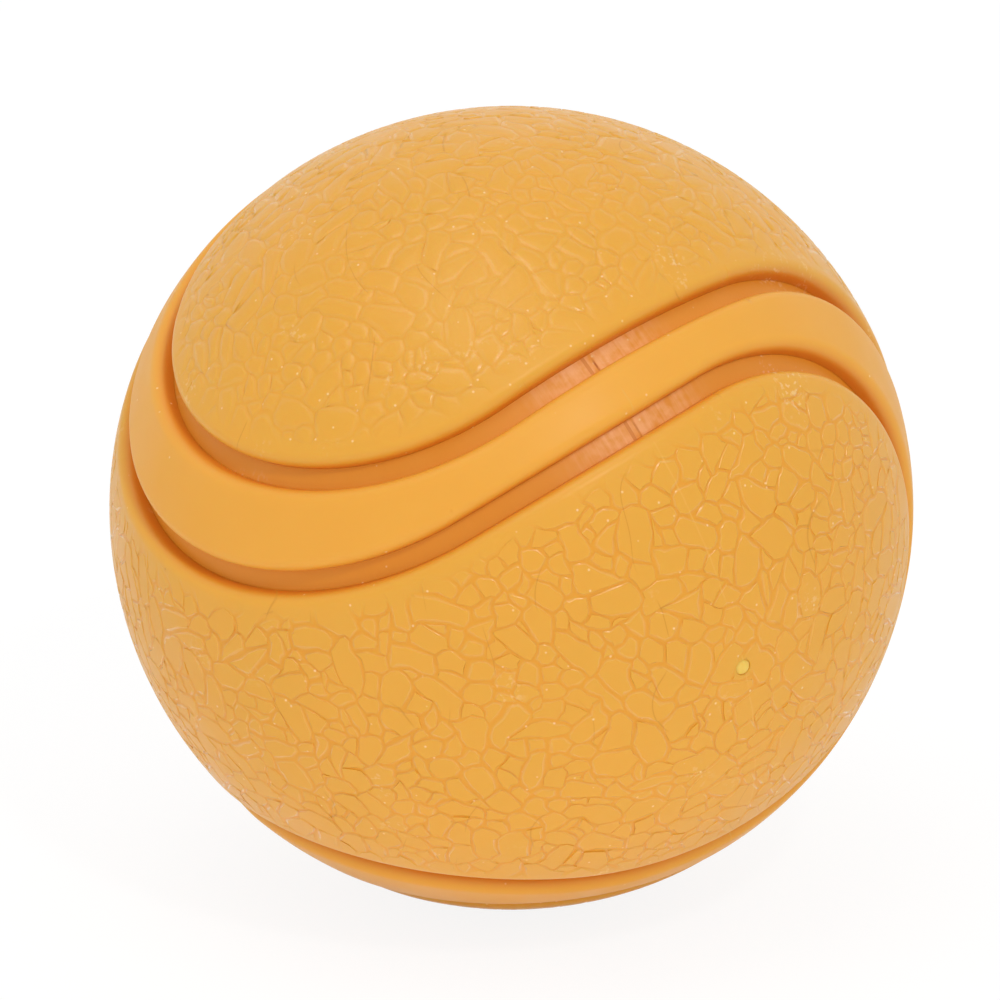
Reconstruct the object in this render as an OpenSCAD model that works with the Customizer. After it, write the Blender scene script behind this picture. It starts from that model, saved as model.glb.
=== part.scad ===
// Hollow rubber dog ball with a tennis-ball seam.
// Two cups cemented together make the core. Two dog-bone panels and one smooth endless band cover it,
// and the core shows between them as the floor of the grooves. A plug fills the needle hole, which is on
// the parting line.
// The origin is the centre of the ball, and +Z is up as the ball lies.

/* [Ball] */
// Outside diameter of the ball
ball_d = 63; // [56:0.5:75]
// Thickness of the cover, which sets the depth of the grooves
cover_t = 1.6; // [1.2:0.1:2.2]
// Wall of the hollow core
core_wall = 4.8; // [3:0.1:7]
// Cement between the two cups of the core
cement_t = 0.3; // [0.1:0.05:0.6]
// Bond line between the core and its cover
bond_t = 0.06; // [0.06:0.01:0.15]

/* [Seam] */
// Width of a panel across its waist, along the groove floor
waist_w = 24; // [20:0.5:28]
// Width of the band between two straight sides, along the groove floor
band_w = 4.3; // [3:0.1:6]
// Width of the band between a round end and the waist that it faces
band_tip_w = 6.7; // [5:0.1:9]

/* [Grooves] */
// Width of each groove at its floor
groove_w = 1.6; // [1.2:0.1:2]
// Rounding along the edges of the panels
panel_lip = 1; // [0.2:0.05:1.1]
// Rounding along the edges of the band
band_lip = 1; // [0.2:0.05:1.1]
// Draft of the groove walls, in degrees
wall_draft = 6; // [2:1:10]

/* [Vent plug] */
// Stem that fills the needle hole
stem_d = 1.3; // [1:0.1:2]
// How far the stem ends below the surface
stem_sink = 0.15; // [0.05:0.05:0.4]
// Pellet on the inside of the wall, at the foot of the stem
pellet_d = 7; // [5:0.5:9]
// Thickness of the pellet
pellet_t = 1.8; // [1:0.1:3]

/* [Lie] */
// Roll of the ball about X
lie_x = 19.5; // [-180:0.5:180]
// Then about Y
lie_y = 69.5; // [-180:0.5:180]
// Then about Z
lie_z = 53; // [-180:0.5:180]

/* [Hidden] */
$fn = 144;

ball_r = ball_d / 2;
core_r = ball_r - cover_t;
cover_base_r = core_r + bond_t;
cavity_r = core_r - core_wall;

cover_colour = "#EBA946";
band_colour = "#EEAB4A";
core_colour = "#E39A58";
cement_colour = "#D98A3C";
plug_colour = "#EFC55C";

// Steps along a quarter of an outline: round end, straight side, hollow
lobe_steps = 14;
side_steps = 5;
waist_steps = 10;
quarter_steps = lobe_steps + side_steps + waist_steps;
spine_steps = side_steps + waist_steps;
// Steps from the middle of a panel to its edge, across the band, and round a lip
panel_rings = 6;
band_strips = 5;
lip_steps = 3;

// Directions from the ball's centre. A panel's waist is about +Z, its round ends lie towards +X and -X,
// and the hollows beside its waist towards +Y and -Y. Its straight sides lie on meridians.
function polar_x(angle) = [sin(angle), 0, cos(angle)];
function polar_y(angle) = [0, sin(angle), cos(angle)];
function unit(v) = v / norm(v);
function between(a, b, share) = unit(a + (b - a) * share);
function turned(v, axis, angle) =
    v * cos(angle) + cross(axis, v) * sin(angle) + axis * (axis * v) * (1 - cos(angle));
function turn_angle(axis, from, to) =
    atan2(axis * cross(from, to), from * to - (axis * from) * (axis * to));
function turn_over(v) = [v.y, v.x, -v.z];
function arc_angle(length, r) = length / r * 180 / PI;

waist_half = arc_angle(waist_w / 2, core_r);
tip_polar = 180 - waist_half - arc_angle(band_tip_w + 2 * groove_w, core_r);
side_azimuth = 45 - arc_angle(band_w + 2 * groove_w, core_r) / 2;
side_pole = [sin(side_azimuth), -cos(side_azimuth), 0];

// The round end reaches from its tip to both sides, and the hollow from the middle of the waist to two
// sides
lobe_a = atan2(sin(side_azimuth) * sin(tip_polar), 1 + sin(side_azimuth) * cos(tip_polar));
waist_a = atan2(cos(side_azimuth) * sin(waist_half), 1 - cos(side_azimuth) * cos(waist_half));
lobe_polar = tip_polar - lobe_a;
lobe_centre = polar_x(lobe_polar);
waist_centre = polar_y(waist_half + waist_a);

// The point of a straight side nearest to a centre, moved outwards by an angle
function side_point(centre, out) =
    unit(centre - (centre * side_pole) * side_pole) * cos(out) - side_pole * sin(out);

function arc(axis, from, to, steps) =
    let (sweep = turn_angle(axis, from, to))
    [for (i = [0 : steps - 1]) turned(from, axis, sweep * i / steps)];

// A quarter of a panel's outline, moved outwards by an angle: from the tip of its round end to the middle
// of its hollow
function quarter(out) =
    let (
        lobe_foot = side_point(lobe_centre, out),
        waist_foot = side_point(waist_centre, out),
        middle = polar_y(waist_half + out)
    )
    concat(
        arc(lobe_centre, polar_x(tip_polar + out), lobe_foot, lobe_steps),
        arc(side_pole, lobe_foot, waist_foot, side_steps),
        arc(waist_centre, waist_foot, middle, waist_steps),
        [middle]
    );

// The quarter beside it on the panel that is turned over, from the middle of its hollow to its tip
function facing_quarter(out) =
    let (q = quarter(out)) [for (i = [quarter_steps : -1 : 0]) turn_over(q[i])];

// The whole outline from a quarter of it
function ring(q) =
    [
        for (side = [1, -1])
            for (i = [0 : 2 * quarter_steps - 1])
                let (
                    near = i < quarter_steps,
                    p = q[near ? i : 2 * quarter_steps - i]
                )
                [(near ? side : -side) * p.x, side * p.y, p.z]
    ];
ring_steps = 4 * quarter_steps;

// Section of an edge from its foot to the surface: [distance from the ball's centre, how far the edge has
// drawn back]. It leans by the draft and rounds over into the surface.
function edge_section(lip) =
    let (top = ball_r - lip, lean = tan(wall_draft) * (top - cover_base_r))
    concat(
        [[cover_base_r, 0]],
        [for (i = [0 : lip_steps])
            let (t = 90 * i / lip_steps)
            [top + lip * sin(t), lean + lip * (1 - cos(t))]]
    );

// Where a ring point's section meets the middle line of a panel
function spine_index(i) =
    let (
        half = i % (2 * quarter_steps),
        near_tip = half <= quarter_steps ? half : 2 * quarter_steps - half,
        from_lobe = max(0, near_tip - lobe_steps),
        far_end = floor((i + quarter_steps) / (2 * quarter_steps)) % 2 == 1
    )
    far_end ? 2 * spine_steps - from_lobe : from_lobe;

spine = [for (i = [0 : 2 * spine_steps]) polar_x(lobe_polar * (1 - i / spine_steps))];

// Triangles between two neighbouring rows of points, given the index of a point in each
function strip(count, first, second) =
    [
        for (i = [0 : count - 1])
            let (j = (i + 1) % count, a = first(i), b = first(j), c = second(i), d = second(j))
            each [if (a != b) [a, b, c], if (c != d) [b, d, c]]
    ];

// A closed ring of a section swept round the ball
module swept_ring(rows) {
    count = len(rows);
    polyhedron(
        points = [for (row = rows) each row],
        faces = [
            for (r = [0 : count - 1])
                each strip(ring_steps, function (i) r * ring_steps + i,
                    function (i) ((r + 1) % count) * ring_steps + i)
        ]
    );
}

// A panel from its rows of points, which run from the middle over the edge and back under it
module filled_panel(rows) {
    count = len(rows);
    spine_count = len(spine);
    function row_point(r, i) = spine_count + r * ring_steps + i;
    under = spine_count + count * ring_steps;
    polyhedron(
        points = concat(ball_r * spine, [for (row = rows) each row], cover_base_r * spine),
        faces = concat(
            strip(ring_steps, function (i) spine_index(i), function (i) row_point(0, i)),
            [
                for (r = [0 : count - 2])
                    each strip(ring_steps, function (i) row_point(r, i), function (i) row_point(r + 1, i))
            ],
            strip(ring_steps, function (i) row_point(count - 1, i), function (i) under + spine_index(i))
        )
    );
}

// Rows of a panel between its middle and an edge, at one distance from the ball's centre
function panel_rows(edge, r, rings) =
    [
        for (k = rings)
            [for (i = [0 : ring_steps - 1]) r * between(spine[spine_index(i)], edge[i], k / panel_rings)]
    ];

module panel() {
    section = edge_section(panel_lip);
    last = len(section) - 1;
    edges = [for (s = section) ring(quarter(-arc_angle(s[1], s[0])))];
    filled_panel(concat(
        panel_rows(edges[last], ball_r, [1 : panel_rings]),
        [for (i = [last - 1 : -1 : 0]) section[i][0] * edges[i]],
        panel_rows(edges[0], cover_base_r, [panel_rings - 1 : -1 : 1])
    ));
}

module band() {
    section = edge_section(band_lip);
    last = len(section) - 1;
    outs = [for (s = section) arc_angle(groove_w, core_r) + arc_angle(s[1], s[0])];
    near = [for (out = outs) ring(quarter(out))];
    facing = [for (out = outs) ring(facing_quarter(out))];
    function across(level, r, share) =
        [for (i = [0 : ring_steps - 1]) r * between(near[level][i], facing[level][i], share)];
    swept_ring(concat(
        [for (i = [0 : last]) section[i][0] * near[i]],
        [for (k = [1 : band_strips - 1]) across(last, ball_r, k / band_strips)],
        [for (i = [last : -1 : 0]) section[i][0] * facing[i]],
        [for (k = [band_strips - 1 : -1 : 1]) across(0, cover_base_r, k / band_strips)]
    ));
}

module lying() {
    rotate([lie_x, lie_y, lie_z]) children();
}

module turned_over() {
    rotate(180, [1, 1, 0]) children();
}

// Points the Z axis of its children at the needle hole, in the parting plane
module at_needle_hole() {
    rotate([90, 0, 0]) children();
}

module needle_hole() {
    at_needle_hole() cylinder(d = stem_d, h = ball_d);
}

module core_shell() {
    difference() {
        sphere(core_r);
        sphere(cavity_r);
    }
}

module core_cup() {
    difference() {
        core_shell();
        translate([0, 0, cement_t / 2 - ball_r]) cube([2 * ball_d, 2 * ball_d, ball_d], center = true);
        needle_hole();
    }
}

module core_cup_upper() {
    color(core_colour) lying() core_cup();
}

module core_cup_lower() {
    color(core_colour) lying() rotate([0, 180, 0]) core_cup();
}

module core_cement() {
    color(cement_colour) lying()
        difference() {
            intersection() {
                core_shell();
                cube([2 * ball_d, 2 * ball_d, cement_t], center = true);
            }
            needle_hole();
        }
}

module upper_panel() {
    color(cover_colour) lying() panel();
}

module lower_panel() {
    color(cover_colour) lying()
        difference() {
            turned_over() panel();
            needle_hole();
        }
}

module seam_band() {
    color(band_colour) lying() band();
}

module vent_plug() {
    color(plug_colour) lying()
        at_needle_hole() {
            intersection() {
                sphere(ball_r - stem_sink);
                translate([0, 0, cavity_r - pellet_t]) cylinder(d = stem_d, h = ball_r);
            }
            intersection() {
                sphere(cavity_r);
                translate([0, 0, cavity_r - pellet_t]) cylinder(d = pellet_d, h = ball_r);
            }
        }
}

core_cup_upper();
core_cup_lower();
core_cement();
upper_panel();
lower_panel();
seam_band();
vent_plug();
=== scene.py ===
"""Looks of a rubber dog ball: two grained panels, a smooth seam band, the grooves and a vent plug.

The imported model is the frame. Meshes are shaped in millimetres on the ball's own axes, where the
joint of the core is Z = 0, and are then laid and scaled into the frame's metres.
"""

import logging
import math
import random
from collections.abc import Iterable
from dataclasses import dataclass
from enum import Enum
from functools import cached_property

import bmesh
import bpy
import numpy as np
from mathutils import Euler, Matrix, Vector, noise
from mathutils.kdtree import KDTree

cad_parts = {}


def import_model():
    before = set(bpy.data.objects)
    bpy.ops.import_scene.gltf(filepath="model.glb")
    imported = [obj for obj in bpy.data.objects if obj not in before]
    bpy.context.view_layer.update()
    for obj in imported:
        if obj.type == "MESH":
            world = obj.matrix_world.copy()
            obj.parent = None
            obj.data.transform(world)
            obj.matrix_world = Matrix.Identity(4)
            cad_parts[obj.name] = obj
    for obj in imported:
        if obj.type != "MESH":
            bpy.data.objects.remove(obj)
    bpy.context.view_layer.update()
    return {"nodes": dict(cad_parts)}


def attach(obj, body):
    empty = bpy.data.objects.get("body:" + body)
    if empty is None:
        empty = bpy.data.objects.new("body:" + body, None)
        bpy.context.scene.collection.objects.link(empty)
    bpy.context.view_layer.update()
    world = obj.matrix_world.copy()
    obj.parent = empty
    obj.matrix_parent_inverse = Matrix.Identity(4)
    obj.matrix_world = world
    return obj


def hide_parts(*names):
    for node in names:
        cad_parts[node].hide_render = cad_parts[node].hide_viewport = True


Mesh = bmesh.types.BMesh
Edges = list[bmesh.types.BMEdge]
Faces = list[bmesh.types.BMFace]
Material = bpy.types.Material
Object = bpy.types.Object
Socket = bpy.types.NodeSocket
Colour = tuple[float, float, float, float]
Span = tuple[float, float]

LOG = logging.getLogger("dog_ball")
MM = 0.001
# Edges that turn by more than this stay sharp.
SHARP = math.radians(60.0)
# An edge this near to an outline lies on it, as an angle.
ON_OUTLINE = 0.01
# Level of the grain above which a vertex is on the flat of a cell
FLAT = 0.99
# More than the grain has seeds
MOST_SEEDS = 20000.0
# Direction square to the plane in which the mould of the cover parts, in the frame
PARTING = (0.7991, 0.5182, 0.3049)
# How the ball lies in the frame
LIE = Euler((math.radians(19.5), math.radians(69.5), math.radians(53.0))).to_matrix().to_4x4()


class Panel(Enum):
    """The two grained panels of the cover."""

    UPPER = "upper_panel"
    LOWER = "lower_panel"


class Stretch(Enum):
    """The kinds of stretch that make a panel's outline."""

    ROUND_END = 0
    SIDE = 1
    HOLLOW = 2


def turned_over(vectors: np.ndarray) -> np.ndarray:
    """Turn vectors half a turn about (1, 1, 0), which takes one panel to the other."""
    return vectors[..., [1, 0, 2]] * (1.0, 1.0, -1.0)


def unit(vectors: np.ndarray) -> np.ndarray:
    """Scale vectors to length 1."""
    return vectors / np.linalg.norm(vectors, axis=-1, keepdims=True)


def smooth_step(low: float, high: float, values: np.ndarray) -> np.ndarray:
    """Rise smoothly from 0 at low to 1 at high."""
    t = np.clip((values - low) / (high - low), 0.0, 1.0)
    return t * t * (3.0 - 2.0 * t)


def places(verts: Iterable[bmesh.types.BMVert]) -> np.ndarray:
    """Give the coordinates of vertices as rows."""
    return np.array([v.co for v in verts], float).reshape(-1, 3)


def middles(faces: Iterable[bmesh.types.BMFace]) -> np.ndarray:
    """Give the middles of faces as rows."""
    return np.array([f.calc_center_median() for f in faces], float).reshape(-1, 3)


def whole(faces: Faces) -> list[bmesh.types.BMFace | bmesh.types.BMEdge | bmesh.types.BMVert]:
    """List faces with their edges and vertices, each once and in a fixed order."""
    edges = dict.fromkeys(e for f in faces for e in f.edges)
    verts = dict.fromkeys(v for f in faces for v in f.verts)
    return [*faces, *edges, *verts]


def put(verts: Iterable[bmesh.types.BMVert], points: np.ndarray) -> None:
    """Move vertices to points."""
    for vert, point in zip(verts, points):
        vert.co = point


def soften(bm: Mesh, verts: list[bmesh.types.BMVert]) -> None:
    """Move vertices half way to the middle of their neighbours."""
    bmesh.ops.smooth_vert(
        bm, verts=verts, factor=0.5, use_axis_x=True, use_axis_y=True, use_axis_z=True
    )


@dataclass(frozen=True)
class Seam:
    """Sizes of the cover in millimetres, and the outlines that they give on the ball.

    Points are around the ball's centre. A panel is the one whose outline is meant, and out is how
    far outwards that outline is moved, as an angle.
    """

    ball_r: float = 31.5
    cover_t: float = 1.6
    bond_t: float = 0.01
    waist_w: float = 24.0
    band_w: float = 4.3
    band_tip_w: float = 6.7
    groove_w: float = 1.6
    wall_draft: float = 6.0
    panel_lip: float = 1.0
    band_lip: float = 1.0
    lip_rows: int = 7
    cut_reach: float = 3.0

    @property
    def core_r(self) -> float:
        """Radius of the core, which is the floor of the grooves."""
        return self.ball_r - self.cover_t

    @property
    def base_r(self) -> float:
        """Radius of the underside of the cover."""
        return self.core_r + self.bond_t

    @cached_property
    def waist_half(self) -> float:
        """Angle from the middle of a waist to its edge."""
        return self.waist_w / 2 / self.core_r

    @cached_property
    def tip_polar(self) -> float:
        """Angle from the middle of a waist to the tip of a round end."""
        return math.pi - self.waist_half - (self.band_tip_w + 2 * self.groove_w) / self.core_r

    @cached_property
    def side_azimuth(self) -> float:
        """Azimuth of the meridian that a straight side lies on."""
        return math.pi / 4 - (self.band_w + 2 * self.groove_w) / self.core_r / 2

    @cached_property
    def side_pole(self) -> np.ndarray:
        """Pole of a straight side, on the panel's side of it."""
        return np.array([math.sin(self.side_azimuth), -math.cos(self.side_azimuth), 0.0])

    @cached_property
    def lobe_a(self) -> float:
        """Radius of a round end, as an angle."""
        s = math.sin(self.side_azimuth)
        return math.atan2(s * math.sin(self.tip_polar), 1 + s * math.cos(self.tip_polar))

    @cached_property
    def waist_a(self) -> float:
        """Radius of the hollow beside a waist, as an angle."""
        c = math.cos(self.side_azimuth)
        return math.atan2(c * math.sin(self.waist_half), 1 - c * math.cos(self.waist_half))

    @cached_property
    def lobe_centre(self) -> np.ndarray:
        """Centre of a round end."""
        polar = self.tip_polar - self.lobe_a
        return np.array([math.sin(polar), 0.0, math.cos(polar)])

    @cached_property
    def waist_centre(self) -> np.ndarray:
        """Centre of the hollow beside a waist."""
        polar = self.waist_half + self.waist_a
        return np.array([0.0, math.sin(polar), math.cos(polar)])

    def along_at(self, centre: np.ndarray) -> np.ndarray:
        """Give the direction along a straight side at its point nearest to a centre."""
        foot = unit(centre - (centre @ self.side_pole) * self.side_pole)
        return np.cross(self.side_pole, foot)

    def folded(self, points: np.ndarray, panel: Panel) -> tuple[np.ndarray, np.ndarray]:
        """Fold points into a panel's first quarter: directions, and the signs that unfold them."""
        d = unit(points)
        if panel is Panel.LOWER:
            d = turned_over(d)
        signs = np.where(d < 0, -1.0, 1.0)
        signs[:, 2] = 1.0
        return d * signs, signs

    def stretches(self, d: np.ndarray) -> np.ndarray:
        """Tell which stretch of the outline each folded direction belongs to, by its value."""
        kind = np.full(len(d), Stretch.SIDE.value)
        kind[d @ self.along_at(self.lobe_centre) < 0] = Stretch.ROUND_END.value
        kind[d @ self.along_at(self.waist_centre) > 0] = Stretch.HOLLOW.value
        return kind

    def inside(self, points: np.ndarray, panel: Panel) -> np.ndarray:
        """Measure how far inside a panel's outline points are, as angles, negative outside."""
        d, _ = self.folded(points, panel)
        kind = self.stretches(d)
        by_kind = (
            self.lobe_a - np.arccos(np.clip(d @ self.lobe_centre, -1, 1)),
            np.arcsin(np.clip(d @ self.side_pole, -1, 1)),
            np.arccos(np.clip(d @ self.waist_centre, -1, 1)) - self.waist_a,
        )
        return np.choose(kind, by_kind)

    def on_outline(self, edges: Edges, panel: Panel, out: float) -> Edges:
        """Pick the edges that lie on a panel's outline."""
        spots = np.array([(e.verts[0].co + e.verts[1].co) / 2 for e in edges])
        near = np.abs(self.inside(spots, panel) + out) < ON_OUTLINE
        return [e for e, is_near in zip(edges, near) if is_near]

    def trim(self, bm: Mesh, faces: Faces, panel: Panel, out: float, keep_inside: bool) -> None:
        """Delete the faces on one side of a panel's outline."""
        beyond = (self.inside(middles(faces), panel) < -out) == keep_inside
        gone = [f for f, is_beyond in zip(faces, beyond) if is_beyond]
        bmesh.ops.delete(bm, geom=gone, context="FACES")

    def outward(self, points: np.ndarray, panel: Panel) -> np.ndarray:
        """Find the unit tangents that lead straight out of a panel's outline at points."""
        d, signs = self.folded(points, panel)
        kind = self.stretches(d)[:, None]
        target = np.where(kind == Stretch.ROUND_END.value, -self.lobe_centre, -self.side_pole)
        target = np.where(kind == Stretch.HOLLOW.value, self.waist_centre, target)
        tangent = unit(target - np.sum(target * d, axis=1, keepdims=True) * d) * signs
        return turned_over(tangent) if panel is Panel.LOWER else tangent

    def edge_rows(self, lip: float, of_band: bool) -> list[tuple[float, float]]:
        """Work out the section of an edge, from the surface over its lip and down to its foot.

        Args:
            lip: radius of the rounding, in millimetres.
            of_band: whether the edge is the band's, beyond the groove.

        Returns:
            Rows of radius and of the outline's offset as an angle.
        """
        top = self.ball_r - lip
        lean = math.tan(math.radians(self.wall_draft)) * (top - self.base_r)
        rows = []
        for i in range(self.lip_rows + 1):
            t = math.pi / 2 * (1 - i / self.lip_rows)
            rows.append((top + lip * math.sin(t), lean + lip * (1 - math.cos(t))))
        rows += [((top + self.base_r) / 2, lean / 2), (self.base_r, 0.0)]
        start, sign = (self.groove_w / self.core_r, 1.0) if of_band else (0.0, -1.0)
        return [(r, start + sign * back / r) for r, back in rows]

    def cut(self, bm: Mesh, faces: Faces, panel: Panel, out: float, r: float) -> None:
        """Cut faces that lie on a sphere of radius r along a panel's outline."""
        d, signs = self.folded(middles(faces), panel)
        kind = self.stretches(d)
        near = np.abs(self.inside(middles(faces), panel) + out) < self.cut_reach / r
        planes = {
            Stretch.ROUND_END: (self.lobe_centre, math.cos(self.lobe_a + out)),
            Stretch.SIDE: (self.side_pole, -math.sin(out)),
            Stretch.HOLLOW: (self.waist_centre, math.cos(self.waist_a - out)),
        }
        for stretch, (normal, level) in planes.items():
            for sx in (1.0, -1.0):
                for sy in (1.0, -1.0):
                    here = near & (kind == stretch.value) & (signs == (sx, sy, 1.0)).all(axis=1)
                    chosen = [faces[i] for i in np.nonzero(here)[0]]
                    n = normal * (sx, sy, 1.0)
                    n = turned_over(n) if panel is Panel.LOWER else n
                    bmesh.ops.bisect_plane(
                        bm, geom=whole(chosen), dist=1e-5, plane_co=n * level * r, plane_no=n
                    )

    def roll_edge(
        self, bm: Mesh, edges: Edges, panel: Panel, rows: list[tuple[float, float]]
    ) -> Edges:
        """Extrude an open edge over its lip and down its wall.

        Args:
            bm: the mesh.
            edges: the edges of the open loop, on the first row.
            panel: the panel whose outline the edge follows.
            rows: the section from edge_rows.

        Returns:
            The edges of the loop at the foot.
        """
        for (_, out), (r, next_out) in zip(rows, rows[1:]):
            made = bmesh.ops.extrude_edge_only(bm, edges=edges)["geom"]
            edges = [g for g in made if isinstance(g, bmesh.types.BMEdge)]
            verts = [g for g in made if isinstance(g, bmesh.types.BMVert)]
            d = unit(places(verts))
            turn = next_out - out
            put(verts, r * (math.cos(turn) * d + math.sin(turn) * self.outward(d, panel)))
        return edges


def rank(part: bmesh.types.BMEdge | bmesh.types.BMFace) -> float:
    """Number an edge or face by its vertices, so that every run has the same order."""
    number = 0.0
    for index in sorted(v.index for v in part.verts):
        number = number * MOST_SEEDS + index
    return number


@dataclass(frozen=True)
class Grain:
    """Leather grain of the mould, in millimetres: flat cells between soft valleys.

    Seeds keep a spacing that varies by a spread from patch to patch, and are jittered. A share of
    the cells is merged in pairs, sides under the shortest go, and corners are skewed by a share of
    their shortest side. Half a valley is one of valley_halves wide, or the share most of a cell's
    inner radius where that is less. The cells' sides are rounded, warped, and eased where that
    folds them.
    """

    seed: int = 11
    lattice: int = 7
    spacing: float = 1.27
    spread: float = 0.35
    patches: float = 4.5
    jitter: float = 0.2
    merged: float = 0.12
    shortest: float = 0.35
    skew: float = 0.35
    valley_halves: tuple[float, ...] = (0.18, 0.22, 0.27, 0.36)
    most: float = 0.5
    rounding: int = 1
    easing: int = 24
    fold: float = 0.8
    warp: float = 0.36
    warp_size: float = 1.0
    warp_octaves: int = 2
    warp_fade: float = 0.35

    def cells(self, r: float) -> Mesh:
        """Lay irregular cells over a sphere, each with a rim that becomes its valley.

        Args:
            r: radius of the sphere.

        Returns:
            A mesh with a vertex layer, grain, of 0 in a valley and 1 on a cell.
        """
        rng = random.Random(self.seed)
        bm = bmesh.new()
        lattice = bmesh.ops.create_icosphere(bm, subdivisions=self.lattice, radius=r)["verts"]
        bmesh.ops.delete(bm, geom=bm.edges[:], context="EDGES_FACES")
        tree = KDTree(len(lattice))
        for i, vert in enumerate(lattice):
            tree.insert(vert.co, i)
        tree.balance()
        covered, kept = set(), set()
        for i in rng.sample(range(len(lattice)), len(lattice)):
            if i not in covered:
                kept.add(i)
                co = lattice[i].co
                room = self.spacing * (1.0 + self.spread * noise.noise(co / self.patches))
                covered.update(index for _, index, _ in tree.find_range(co, room))
        spare = [v for i, v in enumerate(lattice) if i not in kept]
        bmesh.ops.delete(bm, geom=spare, context="VERTS")
        seeds = bm.verts[:]
        for vert in seeds:
            push = Vector([rng.gauss(0.0, self.jitter) for _ in range(3)])
            vert.co = (vert.co + push).normalized() * r
        bmesh.ops.convex_hull(bm, input=seeds)
        # The hull lists its faces by their address in memory, so their order is set here.
        bm.verts.index_update()
        bm.edges.sort(key=rank)
        bm.faces.sort(key=rank)
        # Poking the triangles and turning the old edges leaves one fan of faces about each seed.
        spokes = bm.edges[:]
        bmesh.ops.poke(bm, faces=bm.faces[:])
        bmesh.ops.rotate_edges(bm, edges=spokes)
        bmesh.ops.dissolve_verts(bm, verts=seeds)
        for vert in bm.verts:
            vert.co = vert.co.normalized() * r
        joined, gone = set(), []
        for edge in bm.edges:
            if rng.random() < self.merged and joined.isdisjoint(edge.link_faces):
                joined.update(edge.link_faces)
                gone.append(edge)
        bmesh.ops.dissolve_edges(bm, edges=gone, use_verts=True)
        bmesh.ops.remove_doubles(bm, verts=bm.verts[:], dist=self.shortest)
        reach = [self.skew * min(e.calc_length() for e in v.link_edges) for v in bm.verts]
        for vert, most in zip(bm.verts, reach):
            push = Vector([rng.uniform(-most, most) for _ in range(3)])
            vert.co = (vert.co + push).normalized() * r
        layer = bm.verts.layers.float.new("grain")
        flats = bm.faces[:]
        lots = {}
        for face in flats:
            room = self.most * 2.0 * face.calc_area() / face.calc_perimeter()
            half = round(min(rng.choice(self.valley_halves), room), 2)
            lots.setdefault(half, []).append(face)
        for half, chosen in lots.items():
            bmesh.ops.inset_individual(bm, faces=chosen, thickness=half)
        for face in flats:
            for vert in face.verts:
                vert[layer] = 1.0
        bmesh.ops.triangulate(bm, faces=flats)
        return bm

    def warped(self, points: np.ndarray) -> np.ndarray:
        """Sway points so that the cells' sides aren't straight."""
        # Vector noise is seeded by the clock otherwise.
        noise.seed_set(self.seed)
        sway = [
            noise.turbulence_vector(
                Vector(p) / self.warp_size,
                self.warp_octaves,
                False,
                amplitude_scale=self.warp_fade,
            )
            for p in points
        ]
        return points + self.warp * np.array(sway)


@dataclass(frozen=True)
class Relief:
    """How deep the grain is on a panel, and how it dies out at the edge, in millimetres.

    The depth is usual times the nominal one, and uneven from patch to patch. Past the lip, a bare
    strip has no grain, which then fades in.
    """

    depth: float
    usual: float = 0.75
    uneven: float = 0.5
    patches: float = 6.0
    # Share of the valleys' painted shade that shows
    tint: float = 1.0
    flatness: int = 4
    gloss: float = 1.0
    crisp: bool = True
    bare: float = 0.15
    fade: float = 1.5


def finish_piece(bm: Mesh, name: str, finish: Material) -> Object:
    """Lay a mesh into the frame as a piece that stands for its node.

    Args:
        bm: the mesh in millimetres on the ball's axes, which is freed.
        name: name of the CAD node.
        finish: the material.

    Returns:
        The piece.
    """
    bmesh.ops.triangulate(bm, faces=[f for f in bm.faces if len(f.verts) > 4])
    bmesh.ops.recalc_face_normals(bm, faces=bm.faces[:])
    bmesh.ops.transform(bm, matrix=LIE @ Matrix.Scale(MM, 4), verts=bm.verts[:])
    for face in bm.faces:
        face.smooth = True
        face.material_index = 0
    for edge in bm.edges:
        edge.smooth = edge.smooth and edge.calc_face_angle(0.0) < SHARP
    mesh = bpy.data.meshes.new(name)
    bm.to_mesh(mesh)
    bm.free()
    mesh.materials.append(finish)
    piece = bpy.data.objects.new(name + "_look", mesh)
    bpy.context.scene.collection.objects.link(piece)
    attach(piece, "root")
    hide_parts(name)
    triangles = sum(len(p.vertices) - 2 for p in mesh.polygons)
    LOG.info("%s: %d triangles", piece.name, triangles)
    return piece


def open_edges(bm: Mesh) -> Edges:
    """List the edges that have one face."""
    return [e for e in bm.edges if e.is_boundary]


@dataclass
class Cover:
    """What the two panels and the band share: a shell with rolled edges and a plain underside."""

    seam: Seam
    under_margin: float = 0.8
    under_faces: int = 5

    def close_under(
        self, bm: Mesh, feet: dict[Panel, Edges], out: float, keep_inside: bool
    ) -> None:
        """Close a shell with an underside of few faces.

        Args:
            bm: the mesh.
            feet: the open loops at the feet of the walls, by panel.
            out: offset of the feet, as an angle.
            keep_inside: whether the shell lies inside the outlines.
        """
        r = self.seam.base_r
        made = bmesh.ops.create_icosphere(bm, subdivisions=self.under_faces, radius=r)["verts"]
        for face in {f for v in made for f in v.link_faces}:
            face.material_index = 1
        margin = out + (-1.0 if keep_inside else 1.0) * self.under_margin / r
        for panel in feet:
            faces = [f for f in bm.faces if f.material_index == 1]
            self.seam.cut(bm, faces, panel, margin, r)
        for panel in feet:
            faces = [f for f in bm.faces if f.material_index == 1]
            self.seam.trim(bm, faces, panel, margin, keep_inside)
        rims = [e for e in open_edges(bm) if e.link_faces[0].material_index == 1]
        for panel, foot in feet.items():
            bmesh.ops.bridge_loops(bm, edges=foot + self.seam.on_outline(rims, panel, margin))

    def note_depth(self, bm: Mesh) -> None:
        """Keep in a layer, sunk, how deep each vertex lies, up to 1 at the underside."""
        layer = bm.verts.layers.float.new("sunk")
        for vert in bm.verts:
            below = (self.seam.ball_r - vert.co.length) / self.seam.cover_t
            vert[layer] = min(1.0, max(0.0, below))


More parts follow.
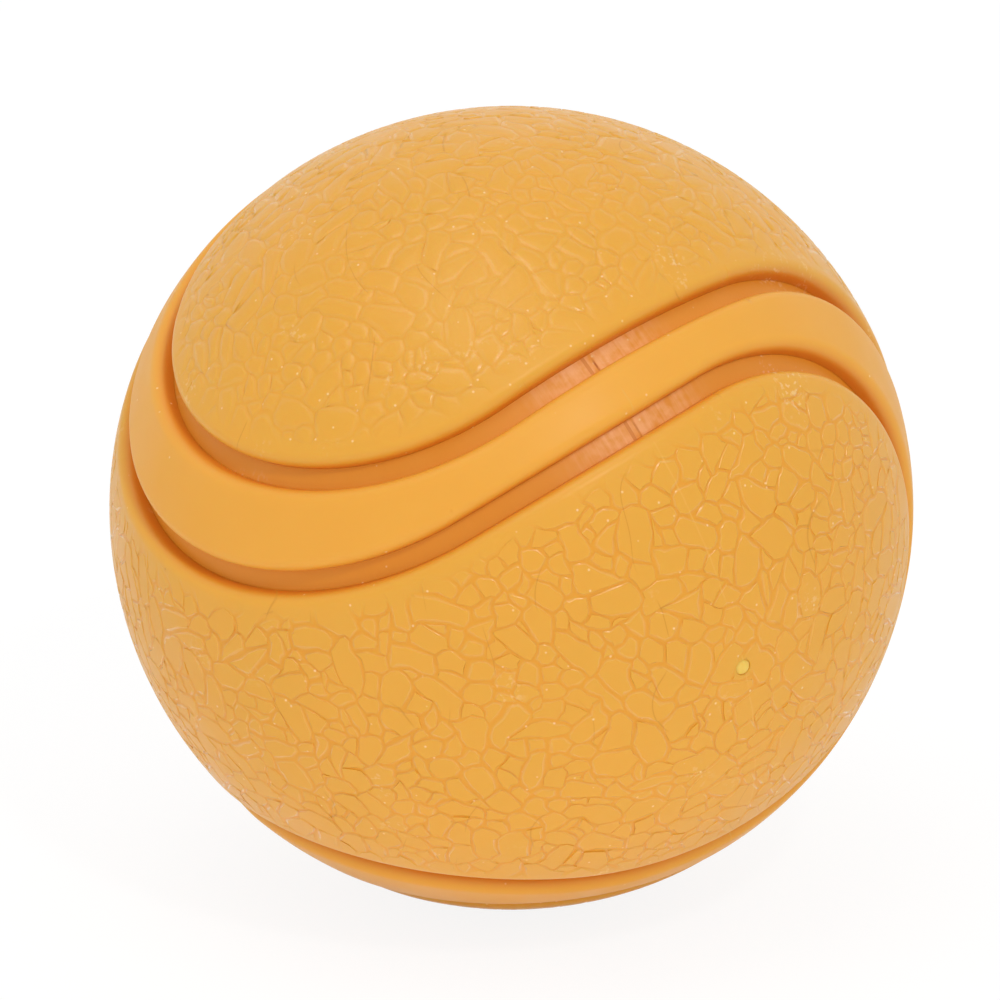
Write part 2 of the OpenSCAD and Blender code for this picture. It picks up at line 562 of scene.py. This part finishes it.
@dataclass
class GrainedPanel(Cover):
    """A dog-bone panel with leather grain, smooth along its edges, in millimetres.

    The spare is what is kept beyond the outline until the cut. The wall of the needle hole is given
    as depths and radii.
    """

    panel: Panel = Panel.UPPER
    grain: Grain = Grain()
    relief: Relief = Relief(0.1)
    spare: float = 3.0
    hole_r: float = 0.66
    hole_fade: float = 0.5
    hole_wall: tuple[tuple[float, float], ...] = (
        (0.0, 0.7),
        (0.03, 0.66),
        (0.1, 0.64),
        (0.5, 0.64),
        (1.2, 0.64),
    )

    def build(self, cells: Mesh, finish: Material) -> Object:
        """Cut the panel out of a sphere of grain and give it its edges.

        Args:
            cells: a sphere of grain cells.
            finish: the material.

        Returns:
            The piece.
        """
        seam, r = self.seam, self.seam.ball_r
        bm = cells.copy()
        rows = seam.edge_rows(seam.panel_lip, of_band=False)
        seam.trim(bm, bm.faces[:], self.panel, self.spare / r, keep_inside=True)
        bmesh.ops.subdivide_edges(bm, edges=bm.edges[:], cuts=1, use_grid_fill=True)
        layer = bm.verts.layers.float["grain"]
        low = [v for v in bm.verts if v[layer] < FLAT or not self.relief.crisp]
        for _ in range(self.grain.rounding):
            soften(bm, low)
        put(bm.verts, r * unit(self.grain.warped(places(bm.verts))))
        self.unfold(bm)
        seam.cut(bm, bm.faces[:], self.panel, rows[0][1], r)
        seam.trim(bm, bm.faces[:], self.panel, rows[0][1], keep_inside=True)
        # Slivers that the cut loses beside the outline
        bmesh.ops.holes_fill(bm, edges=open_edges(bm), sides=4)
        rim = open_edges(bm)
        self.open_hole(bm)
        self.press_grain(bm)
        known = set(rim)
        hole = [e for e in open_edges(bm) if e not in known]
        foot = seam.roll_edge(bm, rim, self.panel, rows)
        self.close_under(bm, {self.panel: foot}, 0.0, keep_inside=True)
        self.line_hole(bm, hole)
        self.note_depth(bm)
        return finish_piece(bm, self.panel.value, finish)

    def unfold(self, bm: Mesh) -> None:
        """Ease out the folds that the sway leaves in narrow faces."""
        upright = self.grain.fold * self.seam.ball_r
        for _ in range(self.grain.easing):
            bm.normal_update()
            folded = [f for f in bm.faces if f.normal.dot(f.calc_center_median()) < upright]
            verts = list(dict.fromkeys(v for f in folded for v in f.verts))
            soften(bm, verts)
            put(verts, self.seam.ball_r * unit(places(verts)))
        LOG.info("%s: %d folds left", self.panel.value, len(folded))

    def about_hole(self, bm: Mesh) -> Faces:
        """List the faces with their middles within two radii of the needle hole."""
        spots = [(f, f.calc_center_median()) for f in bm.faces]
        reach = 2.0 * self.hole_r
        return [f for f, spot in spots if spot.y < 0 and math.hypot(*spot.xz) < reach]

    def open_hole(self, bm: Mesh) -> None:
        """Cut the needle hole, which is towards -Y and so in the lower panel."""
        if self.panel is Panel.UPPER:
            return
        r = self.seam.ball_r
        edges = list(dict.fromkeys(e for f in self.about_hole(bm) for e in f.edges))
        bmesh.ops.subdivide_edges(bm, edges=edges, cuts=2, use_grid_fill=True)
        near = self.about_hole(bm)
        verts = list(dict.fromkeys(v for f in near for v in f.verts))
        put(verts, r * unit(places(verts)))
        level = math.sqrt(r**2 - self.hole_r**2)
        bmesh.ops.bisect_plane(
            bm, geom=whole(near), dist=1e-6, plane_co=(0.0, -level, 0.0), plane_no=(0.0, -1.0, 0.0)
        )
        gone = [f for f in bm.faces if f.calc_center_median().y < -level]
        bmesh.ops.delete(bm, geom=gone, context="FACES")

    def line_hole(self, bm: Mesh, edges: Edges) -> None:
        """Take the wall of the needle hole down to the underside and join it there.

        Args:
            bm: the mesh.
            edges: the open edges of the hole, if the panel has it.
        """
        if not edges:
            return
        for depth, radius in self.hole_wall:
            if depth:
                made = bmesh.ops.extrude_edge_only(bm, edges=edges)["geom"]
                edges = [g for g in made if isinstance(g, bmesh.types.BMEdge)]
            for vert in {v for e in edges for v in e.verts}:
                around = Vector((vert.co.x, 0.0, vert.co.z)).normalized() * radius
                down = math.sqrt((self.seam.ball_r - depth) ** 2 - around.length_squared)
                vert.co = around - Vector((0.0, down, 0.0))
        under = [f for f in bm.faces if f.material_index == 1]
        lid = min(under, key=lambda f: f.calc_center_median().normalized().y)
        rim = lid.edges[:]
        bmesh.ops.delete(bm, geom=[lid], context="FACES_ONLY")
        bmesh.ops.bridge_loops(bm, edges=edges + rim)

    def press_grain(self, bm: Mesh) -> None:
        """Sink the valleys, less towards the panel's edge, and mark their walls as glossy."""
        r, relief = self.seam.ball_r, self.relief
        layer = bm.verts.layers.float["grain"]
        verts = bm.verts[:]
        points = places(verts)
        level = np.array([v[layer] for v in verts])
        from_edge = self.seam.inside(points, self.panel) * r
        start = self.seam.panel_lip + relief.bare
        shown = smooth_step(start, start + relief.fade, from_edge)
        if self.panel is Panel.LOWER:
            from_hole = np.hypot(points[:, 0], points[:, 2])
            shown *= smooth_step(self.hole_r, self.hole_r + self.hole_fade, from_hole)
        rise = np.array([noise.noise(Vector(p) / relief.patches) for p in points])
        depth = relief.depth * (relief.usual + relief.uneven * rise)
        sink = depth * shown * (1.0 - level**relief.flatness)
        put(verts, points * (1.0 - sink / r)[:, None])
        gloss = bm.faces.layers.float.new("gloss")
        bm.verts.index_update()
        flat = {}
        for face in bm.faces:
            levels = [v[layer] for v in face.verts]
            flat[face] = min(levels) > FLAT
            if max(levels) > FLAT and not flat[face]:
                face[gloss] = relief.gloss * min(shown[v.index] for v in face.verts)
        for edge in bm.edges:
            edge.smooth = not relief.crisp or len({flat[f] for f in edge.link_faces}) == 1
        # From here the grain layer also carries how strongly the valleys' painted shade shows
        for vert, value in zip(verts, 1.0 - relief.tint * (1.0 - level) * shown):
            vert[layer] = value


@dataclass
class SeamBand(Cover):
    """The smooth endless band between the panels, in millimetres."""

    fineness: int = 7
    spare: float = 2.0

    def build(self, finish: Material) -> Object:
        """Cut the band out of a sphere and roll its two edges."""
        seam, r = self.seam, self.seam.ball_r
        rows = seam.edge_rows(seam.band_lip, of_band=True)
        bm = bmesh.new()
        bmesh.ops.create_icosphere(bm, subdivisions=self.fineness, radius=r)
        for panel in Panel:
            seam.trim(bm, bm.faces[:], panel, -self.spare / r, keep_inside=False)
        for panel in Panel:
            seam.cut(bm, bm.faces[:], panel, rows[0][1], r)
        for panel in Panel:
            seam.trim(bm, bm.faces[:], panel, rows[0][1], keep_inside=False)
        put(bm.verts, r * unit(places(bm.verts)))
        edges = open_edges(bm)
        rims = {panel: seam.on_outline(edges, panel, rows[0][1]) for panel in Panel}
        feet = {panel: seam.roll_edge(bm, rim, panel, rows) for panel, rim in rims.items()}
        self.close_under(bm, feet, rows[-1][1], keep_inside=False)
        self.note_depth(bm)
        return finish_piece(bm, "seam_band", finish)


@dataclass
class Core:
    """The hollow core, whose surface is the floor of the grooves, in millimetres."""

    seam: Seam
    wall: float = 4.8
    cement_t: float = 0.3
    fineness: int = 6

    def build_cup(self, name: str, side: float, finish: Material) -> Object:
        """Make one cup as a closed half shell.

        Args:
            name: name of the CAD node.
            side: 1 for the cup on +Z, -1 for the other.
            finish: the material.

        Returns:
            The piece.
        """
        bm = bmesh.new()
        bmesh.ops.create_icosphere(bm, subdivisions=self.fineness, radius=self.seam.core_r)
        bmesh.ops.bisect_plane(
            bm,
            geom=bm.verts[:] + bm.edges[:] + bm.faces[:],
            plane_co=(0.0, 0.0, side * self.cement_t / 2),
            plane_no=(0.0, 0.0, side),
            clear_inner=True,
        )
        bmesh.ops.solidify(bm, geom=bm.faces[:], thickness=self.wall)
        return finish_piece(bm, name, finish)


@dataclass
class VentPlug:
    """The plug of the needle hole: a stem with a soft end, and a pellet inside, in millimetres."""

    seam: Seam
    stem_r: float = 0.645
    proud: float = 0.15
    dome: float = 0.42
    dome_rows: int = 6
    cap_r: float = 0.69
    neck: float = 0.546
    uneven: float = 0.05
    lumpy: float = 0.6
    lumps_per_mm: float = 2.3
    pellet_r: float = 3.5
    pellet_t: float = 1.8
    cavity_r: float = 25.1
    overlap: float = 0.02
    steps: int = 32

    def build(self, finish: Material) -> Object:
        """Spin the plug's section about the hole's axis and make its end uneven."""
        top = self.seam.ball_r + self.proud
        under = self.cavity_r - self.pellet_t
        rim = math.sqrt(self.cavity_r**2 - self.pellet_r**2)
        section = [(0.0, top)]
        for i in range(1, self.dome_rows + 1):
            t = math.pi / 2 * i / self.dome_rows
            section.append((self.cap_r * math.sin(t), top - self.dome * (1 - math.cos(t))))
        section += [(self.stem_r, top - self.neck), (self.stem_r, self.cavity_r - self.overlap)]
        section += [(self.pellet_r, rim), (self.pellet_r, under), (0.0, under)]
        bm = bmesh.new()
        verts = [bm.verts.new((x, -y, 0.0)) for x, y in section]
        edges = [bm.edges.new(pair) for pair in zip(verts, verts[1:])]
        bmesh.ops.spin(
            bm,
            geom=verts + edges,
            cent=(0.0, 0.0, 0.0),
            axis=(0.0, 1.0, 0.0),
            angle=math.tau,
            steps=self.steps,
            use_merge=True,
        )
        bmesh.ops.remove_doubles(bm, verts=bm.verts[:], dist=1e-4)
        for vert in bm.verts:
            if -vert.co.y > top - self.lumpy * self.dome:
                vert.co.y += self.uneven * noise.noise(vert.co * self.lumps_per_mm)
        return finish_piece(bm, "vent_plug", finish)


def linear(code: str) -> Colour:
    """Turn an sRGB hex colour into the linear colour that a shader takes."""
    parts = [int(code[i : i + 2], 16) / 255 for i in (1, 3, 5)]
    return (*(c / 12.92 if c <= 0.04045 else ((c + 0.055) / 1.055) ** 2.4 for c in parts), 1.0)


def per_mm(size: float) -> float:
    """Give the texture scale at which one unit of a pattern is a size in millimetres."""
    return 1.0 / (size * MM)


@dataclass(frozen=True)
class Nodes:
    """A node tree, with short ways to add what the materials need. Sizes are in millimetres."""

    tree: bpy.types.NodeTree

    @classmethod
    def of(cls, owner: Material | bpy.types.World) -> "Nodes":
        """Start an empty tree for a material or world."""
        owner.use_nodes = True
        owner.node_tree.nodes.clear()
        return cls(owner.node_tree)

    @cached_property
    def at(self) -> Socket:
        """The place on the piece, in metres."""
        return self.add("TexCoord").outputs["Object"]

    @cached_property
    def away(self) -> Socket:
        """The distance from the plane in which the mould of the cover parts, in metres."""
        across = self.add("VectorMath", {0: self.at, 1: PARTING}, operation="DOT_PRODUCT")
        return across.outputs["Value"]

    def add(
        self, kind: str, inputs: dict[str | int, object] | None = None, **settings: str
    ) -> bpy.types.Node:
        """Add a node with its settings, values and links.

        Args:
            kind: the node's type, without the prefix that all have.
            inputs: a value or an output socket for each input, by name or number.
            settings: the node's own properties.

        Returns:
            The node.
        """
        made = self.tree.nodes.new("ShaderNode" + kind)
        for name, value in settings.items():
            setattr(made, name, value)
        for name, value in (inputs or {}).items():
            if isinstance(value, Socket):
                self.tree.links.new(value, made.inputs[name])
            else:
                made.inputs[name].default_value = value
        return made

    def layer(self, name: str) -> Socket:
        """Read a layer of the mesh."""
        return self.add("Attribute", attribute_name=name).outputs["Fac"]

    def maths(self, operation: str, *values: Socket | float) -> Socket:
        """Work out an operation on values."""
        return self.add("Math", dict(enumerate(values)), operation=operation).outputs[0]

    def clouds(self, size: float, detail: float, output: str = "Fac") -> Socket:
        """Fill the piece with noise of a size, with some finer layers."""
        inputs = {"Vector": self.at, "Scale": per_mm(size), "Detail": detail}
        return self.add("TexNoise", inputs).outputs[output]

    def ranged(
        self, value: Socket, span: Span, ends: Span = (0.0, 1.0), smooth: bool = False
    ) -> Socket:
        """Stretch a span of values to other ends.

        Args:
            value: the value.
            span: the values that come to the ends.
            ends: what comes out there, and beyond.
            smooth: whether to ease in and out.

        Returns:
            The new value.
        """
        inputs = {"Value": value, "From Min": span[0], "From Max": span[1]}
        inputs |= {"To Min": ends[0], "To Max": ends[1]}
        easing = "SMOOTHSTEP" if smooth else "LINEAR"
        return self.add("MapRange", inputs, interpolation_type=easing).outputs[0]

    def patches(
        self, size: float, detail: float, span: Span, ends: Span = (0.0, 1.0), smooth: bool = False
    ) -> Socket:
        """Make irregular patches.

        Args:
            size: size of a patch.
            detail: how many finer layers there are.
            span: the noise at which a patch starts and is full.
            ends: the values outside a patch and in it.
            smooth: whether the patches have soft edges.

        Returns:
            The values.
        """
        return self.ranged(self.clouds(size, detail), span, ends, smooth)

    def mixed(self, share: Socket, first: Socket | Colour, second: Socket | Colour) -> Socket:
        """Mix two colours, with a share of the second."""
        # Inputs 6 and 7 and output 2 are the node's colours.
        return self.add("Mix", {"Factor": share, 6: first, 7: second}, data_type="RGBA").outputs[2]


@dataclass(frozen=True)
class Rubber:
    """Natural rubber, compression moulded: satin and a little translucent, so that edges look soft.

    Sizes are in millimetres. An empty colour leaves its mark out. A span holds the values at which
    a mark starts and is full, and a mask is 1 where it is full. Hair scratches lie on sheets,
    hair_gap apart, which sway by hair_sway over hair_bend, and show in spells.
    """

    name: str
    colour: str
    blot: str
    # Painted shade, mixed in down the walls of the grooves
    wall: str
    # Painted shade in the valleys of the grain
    valley: str = ""
    flash: str = "#E8AC48"
    # Painted reflection: a pale patch beside the joint
    joint_reflection: str = ""
    scratch: str = ""
    scuff: str = ""
    pimple: str = "#F8CC8C"
    roughness: float = 0.45
    handled: float = 5.0
    handled_span: Span = (0.3, 0.7)
    handled_by: Span = (-0.05, 0.07)
    specular: float = 0.35
    coat: float = 0.0
    coat_roughness: float = 0.24
    clear: float = 0.3
    scatter: float = 1.2
    blotch: float = 9.0
    blotch_span: Span = (0.35, 0.7)
    valley_shade_span: Span = (0.15, 0.9)
    wall_shade_span: Span = (0.05, 0.8)
    joint_reflection_reach: Span = (8.0, 2.0)
    joint_reflection_span: Span = (0.75, 1.2)
    joint_reflection_ends: Span = (0.1, 1.0)
    mottle: float = 0.9
    rib: float = 0.6
    hair_gap: float = 3.5
    hair_w: Span = (0.1, 0.02)
    hair_sway: float = 20.0
    hair_bend: float = 14.0
    hair_spell: float = 5.0
    spell_span: Span = (0.58, 0.66)
    fleck: float = 0.45
    fleck_span: Span = (0.56, 0.66)
    scuff_field: float = 6.0
    scuff_span: Span = (0.64, 0.78)
    scuff_ends: Span = (0.0, 0.5)
    flash_w: float = 0.1
    flash_core: float = 0.3
    flash_h: float = 0.003
    flash_gap: float = 1.8
    gap_span: Span = (0.4, 0.55)
    waver: float = 2.5
    waver_by: float = 0.25
    pores: float = 0.3
    pore_depth: float = 0.012
    pimples: float = 0.45
    pimple_h: float = 0.02
    pimple_gap: float = 1.3
    pimple_span: Span = (0.11, 0.03)

    def make(self) -> Material:
        """Build the material."""
        material = bpy.data.materials.new(self.name)
        nodes = Nodes.of(material)
        line, specks = self.flash_line(nodes), self.speckled(nodes)
        colour = self.colours(nodes)
        # Painted reflection: a pale patch on the groove floors beside the joint
        if self.joint_reflection:
            colour = nodes.mixed(self.joint_reflection_mask(nodes), colour, linear(self.joint_reflection))
        if self.scratch:
            colour = nodes.mixed(self.scratched(nodes), colour, linear(self.scratch))
        if self.scuff:
            colour = nodes.mixed(self.scuffed(nodes), colour, linear(self.scuff))
        for mask, tint in ((line, self.flash), (specks, self.pimple)):
            colour = nodes.mixed(mask, colour, linear(tint))
        # Handling varies the roughness, and leaves the mould's gloss on the walls of the grain.
        ends = (self.roughness + self.handled_by[0], self.roughness + self.handled_by[1])
        gloss = nodes.maths("MULTIPLY", nodes.layer("gloss"), self.coat) if self.coat else 0.0
        shader = nodes.add(
            "BsdfPrincipled",
            {
                "Base Color": colour,
                "Roughness": nodes.patches(self.handled, 4.0, self.handled_span, ends),
                "Normal": self.bumps(nodes, line, specks),
                "IOR": 1.5,
                "Specular IOR Level": self.specular,
                "Coat Weight": gloss,
                "Coat Roughness": self.coat_roughness,
                "Subsurface Weight": self.clear,
                "Subsurface Radius": (1.0, 0.45, 0.12),
                "Subsurface Scale": self.scatter * MM,
            },
        )
        nodes.add("OutputMaterial", {"Surface": shader.outputs[0]})
        return material

    def colours(self, nodes: Nodes) -> Socket:
        """Mix the colours of the rubber: surface and soft blotches, with painted shade in the
        grain's valleys and down the walls of the grooves.
        """
        blotches = nodes.patches(self.blotch, 3.0, self.blotch_span, smooth=True)
        colour = nodes.mixed(blotches, linear(self.colour), linear(self.blot))
        # Painted shade: darker, more orange valleys in the grain
        if self.valley:
            flat = nodes.ranged(nodes.layer("grain"), self.valley_shade_span)
            colour = nodes.mixed(flat, linear(self.valley), colour)
        # Painted shade: the wall colour deepens down the groove walls, by how deep a vertex lies
        deep = nodes.ranged(nodes.layer("sunk"), self.wall_shade_span, smooth=True)
        return nodes.mixed(deep, colour, linear(self.wall))

    def joint_reflection_mask(self, nodes: Nodes) -> Socket:
        """Mask a painted reflection: a pale patch on the groove floor beside the joint, with
        mottles and cross ribs.
        """
        start, full = self.joint_reflection_reach
        far = nodes.maths("ABSOLUTE", nodes.away)
        near = nodes.ranged(far, (start * MM, full * MM), smooth=True)
        ribs = nodes.add(
            "TexNoise",
            {"W": nodes.away, "Scale": per_mm(self.rib), "Detail": 3.0},
            noise_dimensions="1D",
        )
        both = nodes.maths("ADD", nodes.clouds(self.mottle, 3.0), ribs.outputs["Fac"])
        reflection_share = nodes.ranged(both, self.joint_reflection_span, self.joint_reflection_ends)
        return nodes.maths("MULTIPLY", near, reflection_share)

    def scratched(self, nodes: Nodes) -> Socket:
        """Mask hair scratches, which are short smooth arcs."""
        drift = nodes.clouds(self.hair_bend, 1.0, "Color")
        swung = nodes.add(
            "VectorMath",
            {0: drift, 1: (self.hair_sway * MM,) * 3, 2: nodes.at},
            operation="MULTIPLY_ADD",
        )
        sheets = nodes.add("SeparateXYZ", {"Vector": swung.outputs[0]})
        hairs = nodes.maths("PINGPONG", sheets.outputs["X"], self.hair_gap * MM)
        edge, full = self.hair_w
        thin = nodes.ranged(hairs, (edge * MM, full * MM))
        return nodes.maths("MULTIPLY", thin, nodes.patches(self.hair_spell, 0.0, self.spell_span))

    def scuffed(self, nodes: Nodes) -> Socket:
        """Mask a few fields of pale flecks, rubbed into the surface."""
        flecks = nodes.patches(self.fleck, 2.0, self.fleck_span)
        fields = nodes.patches(self.scuff_field, 1.0, self.scuff_span, self.scuff_ends)
        return nodes.maths("MULTIPLY", flecks, fields)

    def flash_line(self, nodes: Nodes) -> Socket:
        """Mask the fine line that the parting of the mould leaves, broken here and there."""
        waver = nodes.clouds(self.waver, 2.0)
        swung = nodes.maths("MULTIPLY_ADD", waver, self.waver_by * MM, nodes.away)
        far = nodes.maths("ABSOLUTE", swung)
        edge = self.flash_w * MM
        line = nodes.ranged(far, (edge, self.flash_core * edge))
        return nodes.maths("MULTIPLY", line, nodes.patches(self.flash_gap, 1.0, self.gap_span))

    def speckled(self, nodes: Nodes) -> Socket:
        """Mask scattered pale pimples, which air in the mould leaves."""
        cells = nodes.add("TexVoronoi", {"Vector": nodes.at, "Scale": per_mm(self.pimple_gap)})
        dot = nodes.ranged(cells.outputs["Distance"], self.pimple_span, smooth=True)
        picked = nodes.maths("GREATER_THAN", cells.outputs["Color"], 1.0 - self.pimples)
        return nodes.maths("MULTIPLY", dot, picked)

    def bumps(self, nodes: Nodes, line: Socket, specks: Socket) -> Socket:
        """Raise the fine pores of the moulded skin, the flash line and the pimples."""
        # Pores of the mould are near 0.05 mm, and are drawn coarser so that they show.
        height = nodes.maths("MULTIPLY", nodes.clouds(self.pores, 3.0), self.pore_depth)
        for mask, most in ((line, self.flash_h), (specks, self.pimple_h)):
            height = nodes.maths("MULTIPLY_ADD", mask, most, height)
        bump = nodes.add("Bump", {"Height": height, "Strength": 1.0, "Distance": MM})
        return bump.outputs[0]


@dataclass
class Studio:
    """White table, soft white light and the camera, in metres, degrees and millimetres of lens."""

    ball_r: float = 0.0315
    table: float = 6.0
    elevation: float = 20.0
    distance: float = 1.05
    lens: float = 482.2
    sensor: float = 36.0
    shift: tuple[float, float] = (-0.0114, 0.0077)
    lit: float = 0.72
    white: float = 1.04
    white_share: float = 0.85

    def build(self) -> None:
        """Set the stage around the ball."""
        scene = bpy.context.scene
        scene.view_settings.view_transform = "Standard"
        self.lay_floor()
        self.light_world()
        self.hang_lamp("top_box", (-0.15, -0.15, 0.8), Vector(), size=0.5, watts=1.25)
        place = (0.24, -0.62, 0.68)
        self.hang_lamp("high_front_box", place, Vector(), size=0.09, watts=1.5)
        # What a wide white table throws back up
        place, above = (0.0, -0.22, -0.0312), Vector((0.0, -0.22, 1.0))
        glow = self.hang_lamp("table_glow", place, above, size=0.4, watts=0.14)
        glow.visible_camera = glow.visible_glossy = False
        self.place_camera()

    @staticmethod
    def in_sight(nodes: Nodes) -> Socket:
        """Mask what the camera sees, straight or by reflection, from what only lights the ball."""
        path = nodes.add("LightPath").outputs
        seen = path["Is Camera Ray"]
        for ray in ("Is Glossy Ray", "Is Transmission Ray"):
            seen = nodes.maths("MAXIMUM", seen, path[ray])
        return seen

    def lay_floor(self) -> None:
        """Lay the white floor under the ball, which keeps the ball's shadow."""
        bm = bmesh.new()
        bmesh.ops.create_grid(bm, x_segments=1, y_segments=1, size=self.table)
        bmesh.ops.translate(bm, verts=bm.verts[:], vec=(0.0, 0.0, -self.ball_r))
        mesh = bpy.data.meshes.new("floor")
        bm.to_mesh(mesh)
        bm.free()
        floor = bpy.data.objects.new("floor", mesh)
        bpy.context.scene.collection.objects.link(floor)
        # Matt white lacquer: no reflection, only the ball's soft shadow
        material = bpy.data.materials.new("matt_white_table")
        nodes = Nodes.of(material)
        paint = nodes.add("BsdfDiffuse", {"Color": linear("#F4F4F4")})
        white = nodes.add("Emission", {"Strength": self.white})
        seen = nodes.maths("MULTIPLY", self.in_sight(nodes), self.white_share)
        mix = nodes.add("MixShader", {0: seen, 1: paint.outputs[0], 2: white.outputs[0]})
        nodes.add("OutputMaterial", {"Surface": mix.outputs[0]})
        mesh.materials.append(material)

    def light_world(self) -> None:
        """Surround the ball with even white light."""
        world = bpy.data.worlds.new("white_surround")
        bpy.context.scene.world = world
        nodes = Nodes.of(world)
        strength = nodes.ranged(self.in_sight(nodes), (0.0, 1.0), (self.lit, 1.0))
        light = nodes.add("Background", {"Color": linear("#FFFFFF"), "Strength": strength})
        nodes.add("OutputWorld", {"Surface": light.outputs[0]})

    @staticmethod
    def hang_lamp(
        name: str, place: tuple[float, float, float], target: Vector, size: float, watts: float
    ) -> Object:
        """Hang a square soft box at a place, so that it faces a target."""
        lamp = bpy.data.lights.new(name, "AREA")
        lamp.size = size
        lamp.energy = watts
        box = bpy.data.objects.new(name, lamp)
        box.location = place
        box.rotation_euler = (target - Vector(place)).to_track_quat("-Z", "Y").to_euler()
        bpy.context.scene.collection.objects.link(box)
        return box

    def place_camera(self) -> None:
        """Set a long lens at the photograph's angle."""
        data = bpy.data.cameras.new("camera")
        data.lens = self.lens
        data.sensor_width = self.sensor
        data.shift_x, data.shift_y = self.shift
        camera = bpy.data.objects.new("camera", data)
        tilt = math.radians(self.elevation)
        camera.location = (0.0, -self.distance * math.cos(tilt), self.distance * math.sin(tilt))
        camera.rotation_euler = (math.pi / 2 - tilt, 0.0, 0.0)
        bpy.context.scene.collection.objects.link(camera)
        bpy.context.scene.camera = camera


def main() -> None:
    """Build the pieces in order, dress the nodes that stay, and set the stage."""
    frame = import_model()
    seam = Seam()
    # Rubber from a grained mould: matt flats with a soft sheen, and gloss left on the grain's walls
    grained = Rubber(
        "grained_moulded_rubber",
        "#E4A63A",
        "#E6A63A",
        # Painted shade down the groove walls
        "#DE841E",
        # Painted shade in the grain's valleys
        valley="#E59E2E",
        scratch="#D8962E",
        scuff="#F6D29A",
        roughness=0.38,
        specular=0.32,
        coat=0.8,
        pores=0.7,
        pore_depth=0.02,
        pimples=0.6,
    )
    # The same rubber from a polished part of the mould: even satin with a broad, soft light
    smooth = Rubber(
        # The third colour is painted shade down the groove walls
        "smooth_moulded_rubber", "#EAA63A", "#EBA83C", "#DE841E", pore_depth=0.004, pimples=0.3
    )
    # Skin of the core, roughened for its cover: dull and deep, with a painted pale reflection
    # beside the joint
    skin = Rubber(
        "core_rubber_skin",
        "#E4911E",
        "#E6962A",
        "#E4911E",
        flash="#B8621A",
        flash_w=0.12,
        flash_h=-0.008,
        # Painted reflection beside the joint
        joint_reflection="#F6B474",
        scuff="#F8CCA0",
        pore_depth=0.008,
        clear=0.0,
    )
    # Dried rubber cement: a dull line, browner than the core
    cement = Rubber(
        "rubber_cement", "#DA8A3E", "#DC8E42", "#DA8A3E", flash="#DA8A3E", flash_h=0.0, clear=0.0
    )
    # Gum rubber without filler: pale yellow and waxy
    bead = Rubber(
        "plug_gum_rubber",
        "#EFC55C",
        "#ECBE50",
        "#D9A23C",
        flash="#EFC55C",
        flash_h=0.0,
        pimples=0.0,
    )
    cells = Grain().cells(seam.ball_r)
    grained_finish = grained.make()
    reliefs = {
        # The upper panel's valleys take less painted shade
        Panel.UPPER: Relief(0.12, tint=0.3, flatness=2, gloss=0.5, crisp=False),
        Panel.LOWER: Relief(0.1),
    }
    for panel, relief in reliefs.items():
        GrainedPanel(seam, panel=panel, relief=relief).build(cells, grained_finish)
    cells.free()
    SeamBand(seam).build(smooth.make())
    core_finish = skin.make()
    Core(seam).build_cup("core_cup_upper", 1.0, core_finish)
    Core(seam).build_cup("core_cup_lower", -1.0, core_finish)
    VentPlug(seam).build(bead.make())
    ring = frame["nodes"]["core_cement"]
    ring.data.materials.clear()
    ring.data.materials.append(cement.make())
    LOG.info("core_cement: dressed")
    Studio().build()


if __name__ == "__main__":
    logging.basicConfig(level=logging.INFO, format="%(message)s")
    main()
